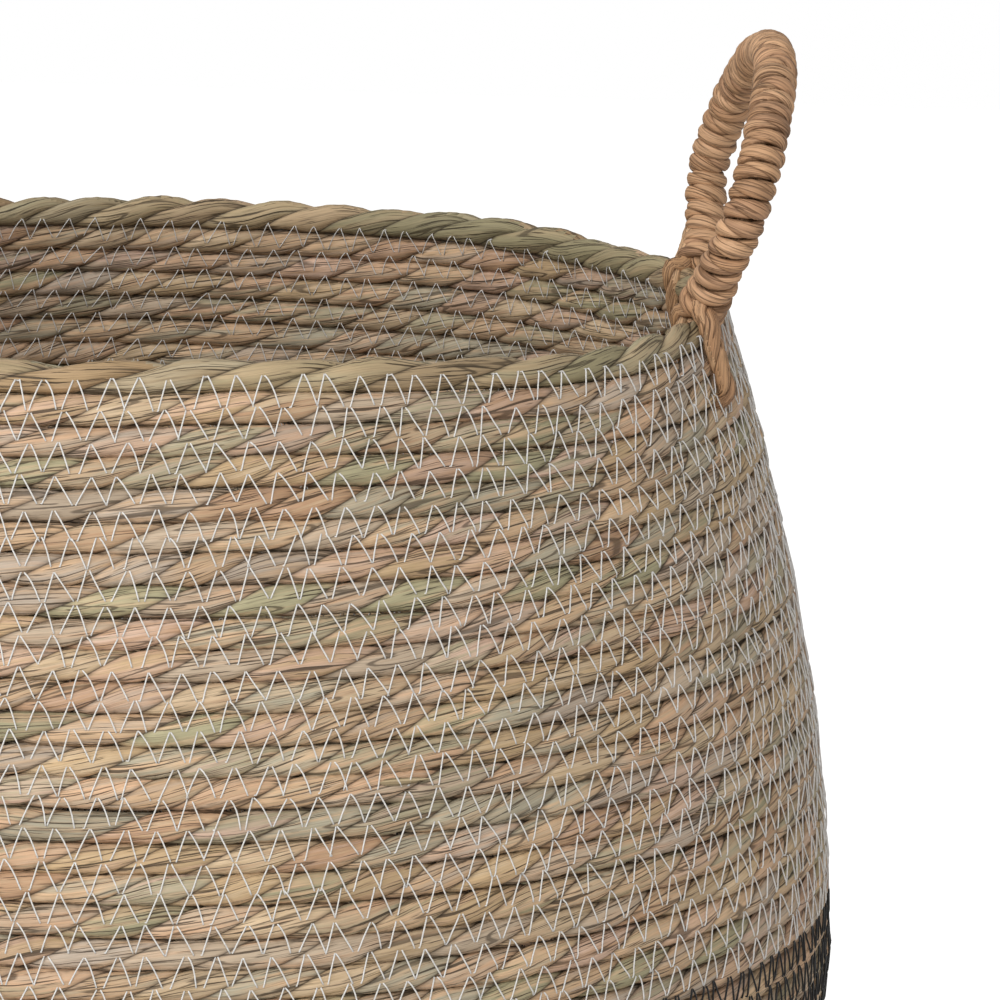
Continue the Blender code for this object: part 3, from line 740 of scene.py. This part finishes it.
def build_threads(coil, pale, black):
    """Pale thread above the belly line and black below, outside and inside, then under the base."""
    end = coil.turn[-1] - 1.6
    runs = [("pale", c, min(c + 7, UPPER_COURSES)) for c in range(0, UPPER_COURSES, 7)]
    runs += [("black", c, min(c + 5, COURSES)) for c in range(UPPER_COURSES, COURSES, 5)]
    runs += [("black", COURSES, COURSES + 5), ("black", COURSES + 5, end)]
    for inside in (False, True):
        where = "inner" if inside else "outer"
        for number, (kind, start, stop) in enumerate(runs):
            is_pale = kind == "pale"
            width = BLACK_THREAD_DIAMETER
            if is_pale:
                width = INNER_THREAD_DIAMETER if inside else PALE_THREAD_DIAMETER
            points, outward = zigzag(coil, max(start, RAMP_SHARE), stop, PALE_STITCH if is_pale else BLACK_STITCH,
                                     inside, width / 2, FIRST_SEED + 100 + number + 20 * inside)
            plain_tube(f"{kind}_thread_{where}_{number}", points, outward, width / 2, 4 if inside else 5,
                       pale if is_pale else black)


# Handles

def loop_point(angle):
    """A point of the loop's middle line, from its hinge, as in the solids, a little askew."""
    along = LOOP_HALF_WIDTH * np.cos(angle)
    up = LOOP_MIDDLE + LOOP_RISE * np.sin(angle)
    askew = -along * math.tan(LOOP_TWIST) * smoothstep(up / 0.030)
    low_back = smoothstep(along / 0.03) * (1 - smoothstep(up / 0.036))
    return np.stack([up * math.sin(LOOP_LEAN) + askew + BACK_LEG_SHIFT[0] * low_back,
                     along + BACK_LEG_SHIFT[1] * low_back, up * math.cos(LOOP_LEAN)], axis=-1)


def loop_line():
    start = -math.asin(LOOP_MIDDLE / LOOP_RISE)
    fine = loop_point(np.linspace(start, math.pi - start, 1200))
    return fine, along_path(fine)


def loop_frame(length):
    """Place, direction and the two cross directions at lengths along the loop. It goes straight on past
    its ends."""
    fine, lengths = loop_line()
    slope = np.gradient(fine, lengths, axis=0)
    here = np.stack([np.interp(length, lengths, fine[:, k]) for k in range(3)], axis=-1)
    past = length - np.clip(length, 0, lengths[-1])
    direction = np.stack([np.interp(length, lengths, slope[:, k]) for k in range(3)], axis=-1)
    direction /= np.linalg.norm(direction, axis=1)[:, None]
    here = here + past[:, None] * direction
    face = np.broadcast_to([math.cos(LOOP_LEAN), 0, -math.sin(LOOP_LEAN)], here.shape)
    return here, direction, face, np.cross(direction, face)


def seat_handle(obj, turn):
    """Moves a mesh made round the hinge to its side of the rim."""
    spot = Matrix.Translation((HINGE_X * math.cos(turn), HINGE_X * math.sin(turn), HINGE_Z))
    obj.data.transform(spot @ Matrix.Rotation(turn, 4, "Z"))


def bend_with_handle(obj):
    """Bakes the piece's placement into its mesh."""
    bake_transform(obj)


def build_wrap(side, turn, paper):
    """Kraft twine wound round the handle: close turns up the legs, flatter and wider ones over the top."""
    rng = np.random.default_rng(FIRST_SEED + (200 if side == "right" else 201))
    total = loop_line()[1][-1]
    fine = np.linspace(WRAP_START, total - WRAP_START, 4000)
    over_top = np.exp(-((fine - total / 2) / 0.030) ** 2)
    pitch = (TWINE_PITCH + (TOP_PITCH - TWINE_PITCH) * over_top) * (1 + 0.13 * wander(rng, fine - fine[0], 0.006))
    winding = np.concatenate([[0], np.cumsum(np.diff(fine) / pitch[1:])]) * math.tau
    steps = int(winding[-1] / math.radians(11))
    turned = np.linspace(0, winding[-1], steps)
    length = np.interp(turned, winding, fine)
    width = np.interp(length, fine, pitch)
    flat = np.interp(length, fine, over_top)
    here, direction, face, inward = loop_frame(length)
    radial = np.cos(turned)[:, None] * face + np.sin(turned)[:, None] * inward
    half = TWINE_THICKNESS / 2 * (1 - 0.12 * flat)
    from_end = np.minimum(length - WRAP_START, total - WRAP_START - length)
    reach = CORE_DIAMETER / 2 + half - 0.0001 + 0.00022 * wander(rng, turned, 5.0)
    reach = reach + WRAP_FLARE * (1 - smoothstep(from_end / 0.018))
    centres = here + radial * reach[:, None]
    along = along_path(centres)
    twist = -(math.tau * along / TWINE_LAY + 1.6 * wander(rng, along, 0.025))
    radii = half * (1 + 0.11 * wander(rng, along, 0.010))
    ends = smoothstep(np.minimum(along, along[-1] - along) / 0.012)
    radii = radii * (0.3 + 0.7 * ends)
    girths = (1.0, (width * 0.525 / half)[:, None])
    # Painted shade in the notches between the plies and between neighbouring turns of twine
    piece = plied_tube(f"paper_wrap_{side}", centres, radial, direction, twist, along, radii, girths, paper,
                       FIRST_SEED + 210, notch=0.30, fullness=2.0, crease_shade=0.75,
                       groove_shade=(0.55, 0.55))
    seat_handle(piece, turn)
    bend_with_handle(piece)
    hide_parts(f"twine_wrap_{side}")


def build_core(side, turn, paper):
    """The rope inside the wrap, which shows only where two turns part."""
    total = loop_line()[1][-1]
    along = np.arange(WRAP_START / 2, total - WRAP_START / 2, RING_STEP)
    here, _, face, inward = loop_frame(along)
    along = along - along[0]
    radii = np.full(len(along), CORE_DIAMETER / 2)
    # The default crease value paints shade into the notches between the plies
    piece = plied_tube(f"paper_core_{side}", here, face, inward, math.tau * along / STRAND_LAY, along, radii,
                       (1.0, 1.0), paper, FIRST_SEED + 220, fullness=2.0)
    seat_handle(piece, turn)
    bend_with_handle(piece)
    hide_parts(f"handle_rope_{side}")


def catmull(points, step):
    """A smooth line through the points, at even steps."""
    points = np.asarray(points, float)
    padded = np.vstack([2 * points[0] - points[1], points, 2 * points[-1] - points[-2]])
    line = []
    for k in range(1, len(padded) - 2):
        a, b, c, d = padded[k - 1:k + 3]
        t = np.linspace(0, 1, 24, endpoint=False)[:, None]
        line.append(0.5 * (2 * b + (c - a) * t + (2 * a - 5 * b + 4 * c - d) * t ** 2
                           + (3 * b - a - 3 * c + d) * t ** 3))
    line = np.vstack(line + [padded[-2:-1]])
    lengths = along_path(line)
    even = np.arange(0, lengths[-1], step)
    return np.stack([np.interp(even, lengths, line[:, k]) for k in range(line.shape[1])], axis=-1), even


def strand_route(outer):
    """One strand in its radial plane: out of the wrap, over the rim's shoulder and down to its hole."""
    side = 1 if outer else -1
    reach = RIM_ROPE_RADIUS + STRAND_TOP_RADIUS * (0.80 if outer else 0.30)
    run = ROPE_RADIUS + STRAND_LOW_RADIUS * (0.95 if outer else 0.50)
    rim = np.array([RIM_RADIUS, RIM_HEIGHT])
    foot = np.array([FOOT_CIRCLE, HINGE_Z])
    points = []
    for up, inward in ((0.0075, 0.0006), (0.0020, 0.0008 if outer else 0.0014)):
        points.append(foot + [math.sin(LOOP_LEAN) * up - inward, math.cos(LOOP_LEAN) * up])
    for share in ((0.25, 0.85, 1.55) if outer else (0.70, 1.20, 1.75)):
        angle = SEAT_ANGLE + side * GRIP_ANGLE * share
        points.append(rim + reach * np.array([math.sin(angle), math.cos(angle)]))
    for course, depth in ((0.30, 1.0), (0.95, 1.0), (1.6, 0.95), (1.9, 0.5), (ANCHOR_COURSES, -0.05)):
        radius, height, tilt = wall_at(COIL_TOP + course * PITCH)
        points.append(np.array([radius + side * run * depth * np.cos(tilt), height + side * run * depth * np.sin(tilt)]))
    return catmull(points, 0.0009)


def build_strands(paper):
    """Two strands at each foot."""
    for side, middle in (("right", 0.0), ("left", math.pi)):
        for end, sign in (("front", -1), ("back", 1)):
            foot_angle = middle + sign * FOOT_ANGLE * math.cos(middle)
            for outer in (True, False):
                flat, along = strand_route(outer)
                leaves = smoothstep((HINGE_Z + 0.007 - flat[:, 1]) / 0.014)
                shift = 1.2 if end == "back" else -0.4
                if outer:
                    shift = 1.5 - 0.8 * along / along[-1]
                angle = foot_angle - STRAND_SHIFT * math.cos(middle) * leaves * shift
                low = 1 - smoothstep((flat[:, 1] - RIM_HEIGHT) / (HINGE_Z + 0.002 - RIM_HEIGHT))
                height = flat[:, 1] + wave_at(angle, np.minimum(flat[:, 1], RIM_HEIGHT)) * low
                centres = np.stack([flat[:, 0] * np.cos(angle), flat[:, 0] * np.sin(angle), height], axis=-1)
                tangent = np.gradient(centres, axis=0)
                tangent /= np.linalg.norm(tangent, axis=1)[:, None]
                sideways = np.array([-math.sin(foot_angle), math.cos(foot_angle), 0.0])
                outs = np.cross(sideways, tangent)
                outs /= np.linalg.norm(outs, axis=1)[:, None]
                across = np.cross(tangent, outs)
                twist = math.tau * along / STRAND_LAY + 0.9 * outer
                radii = STRAND_TOP_RADIUS + (STRAND_LOW_RADIUS - STRAND_TOP_RADIUS) * smoothstep(along / along[-1])
                radii = radii * (1.0 if outer else 0.92)
                where = "outer" if outer else "inner"
                # The crease value paints shade into the notches between the plies
                piece = plied_tube(f"strand_{end}_{side}_{where}", centres, outs, across, twist, along, radii,
                                   (1.0, 1.0), paper, FIRST_SEED + 300 + int(outer), notch=0.42,
                                   fullness=2.0, crease_shade=0.85)
                bend_with_handle(piece)
                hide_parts(f"anchor_strand_{end}_{side}")


# Studio

def build_stage():
    """A white floor under a white backdrop. The floor keeps the basket's shadow."""
    world = bpy.data.worlds.new("studio")
    bpy.context.scene.world = world
    world.use_nodes = True
    tree = world.node_tree
    rays = add_node(tree, "ShaderNodeLightPath")
    seen = add_node(tree, "ShaderNodeMath", {"operation": "MAXIMUM"}, {
        0: rays.outputs["Is Camera Ray"], 1: rays.outputs["Is Transmission Ray"]})
    soft = tree.nodes["Background"]
    soft.inputs["Color"].default_value = (1.0, 1.0, 1.0, 1.0)
    soft.inputs["Strength"].default_value = 0.46
    white = add_node(tree, "ShaderNodeBackground", None, {"Color": (1.0, 1.0, 1.0, 1.0), "Strength": 1.0})
    mixed = add_node(tree, "ShaderNodeMixShader", None, {0: seen.outputs[0], 1: soft.outputs[0], 2: white.outputs[0]})
    tree.links.new(mixed.outputs[0], tree.nodes["World Output"].inputs["Surface"])

    mesh = bpy.data.meshes.new("floor")
    half = 4.0
    mesh.from_pydata([(-half, -half, 0), (half, -half, 0), (half, half, 0), (-half, half, 0)], [], [(0, 1, 2, 3)])
    floor = bpy.data.objects.new("floor", mesh)
    bpy.context.collection.objects.link(floor)
    material = bpy.data.materials.new("white painted floor")
    material.use_nodes = True
    tree = material.node_tree
    shader = tree.nodes["Principled BSDF"]
    shader.inputs["Base Color"].default_value = linear("#F4F3F1")
    shader.inputs["Roughness"].default_value = 0.9
    shader.inputs["Emission Color"].default_value = (1.0, 1.0, 1.0, 1.0)
    rays = add_node(tree, "ShaderNodeLightPath")
    lift = add_node(tree, "ShaderNodeMath", {"operation": "MULTIPLY"}, {0: rays.outputs["Is Camera Ray"], 1: 0.62})
    tree.links.new(lift.outputs[0], shader.inputs["Emission Strength"])
    mesh.materials.append(material)


def add_lamp(name, place, aim, size, power):
    data = bpy.data.lights.new(name, "AREA")
    data.shape = "SQUARE"
    data.size = size
    data.energy = power
    lamp = bpy.data.objects.new(name, data)
    bpy.context.collection.objects.link(lamp)
    lamp.location = place
    direction = np.array(aim) - np.array(place)
    yaw = math.atan2(direction[1], direction[0])
    pitch = math.atan2(direction[2], math.hypot(direction[0], direction[1]))
    lamp.rotation_euler = (math.pi / 2 + pitch, 0, yaw - math.pi / 2)


def build_camera():
    """The photograph's viewpoint: above the handles, 1.64 m in front, through a long lens."""
    data = bpy.data.cameras.new("camera")
    data.sensor_width = 36.0
    data.lens = 191.3
    camera = bpy.data.objects.new("camera", data)
    bpy.context.collection.objects.link(camera)
    yaw, pitch, roll = (math.radians(degrees) for degrees in (-0.92, -10.58, 1.74))
    turned = (Matrix.Rotation(yaw, 4, "Z") @ Matrix.Rotation(math.pi / 2 + pitch, 4, "X")
              @ Matrix.Rotation(roll, 4, "Z"))
    camera.matrix_world = Matrix.Translation((0.0857, -1.6356, 0.6167)) @ turned
    bpy.context.scene.camera = camera


def main():
    rope_girth = math.pi * ROPE_DIAMETER
    seagrass = plied_fibre("dried seagrass, twisted", SEAGRASS_BLADES, "#35281A", 0.62, rope_girth, -0.47,
                           (0.018, 0.00038), (0.035, 0.0022), (0.030, 0.0034), 0.00022)
    rim_grass = plied_fibre("dried seagrass rim, twisted", RIM_BLADES, "#33271A", 0.60, math.pi * RIM_ROPE_DIAMETER,
                            -0.44, (0.018, 0.00042), (0.035, 0.0024), (0.032, 0.0032), 0.00026)
    loose = plied_fibre("dried seagrass, loose blades", LOOSE_BLADES, "#6B583C", 0.62, rope_girth, 0.0,
                        (0.020, 0.00040), (0.035, 0.0022), (0.030, 0.0040), 0.00018, dull=0.7, dark_line=0.72)
    paper = plied_fibre("kraft paper twine", PAPER_BLADES, "#5B3D24", 0.60, math.pi * TWINE_THICKNESS, -0.40,
                        (0.014, 0.00042), (0.022, 0.0014), (0.018, 0.0020), 0.00030, tint=0.45, dull=0.85,
                        dark_line=0.52)
    rope_paper = plied_fibre("kraft paper rope", STRAND_BLADES, "#4A301B", 0.62, math.pi * FOOT_ROPE_DIAMETER, 0.60,
                             (0.014, 0.00042), (0.022, 0.0014), (0.020, 0.0022), 0.00030, tint=0.45, dark_line=0.52)
    pale = thread_finish("pale polyester thread", "#DEDCD8", 0.55)
    black = thread_finish("black polyester thread", "#1B1A1A", 0.6)
    coil = Coil()
    build_coil(coil, seagrass)
    build_rim(rim_grass)
    build_frays(coil, loose)
    build_threads(coil, pale, black)
    for side, turn in (("right", 0.0), ("left", math.pi)):
        build_core(side, turn, rope_paper)
        build_wrap(side, turn, paper)
    build_strands(rope_paper)
    build_stage()
    add_lamp("key lamp", (-1.9, -1.5, 1.6), (0, 0, 0.25), 1.5, 25.0)
    add_lamp("front lamp", (-0.4, -2.0, 1.7), (0, 0, 0.25), 1.8, 32.0)
    build_camera()
    bpy.context.scene.view_settings.view_transform = "Standard"


main()
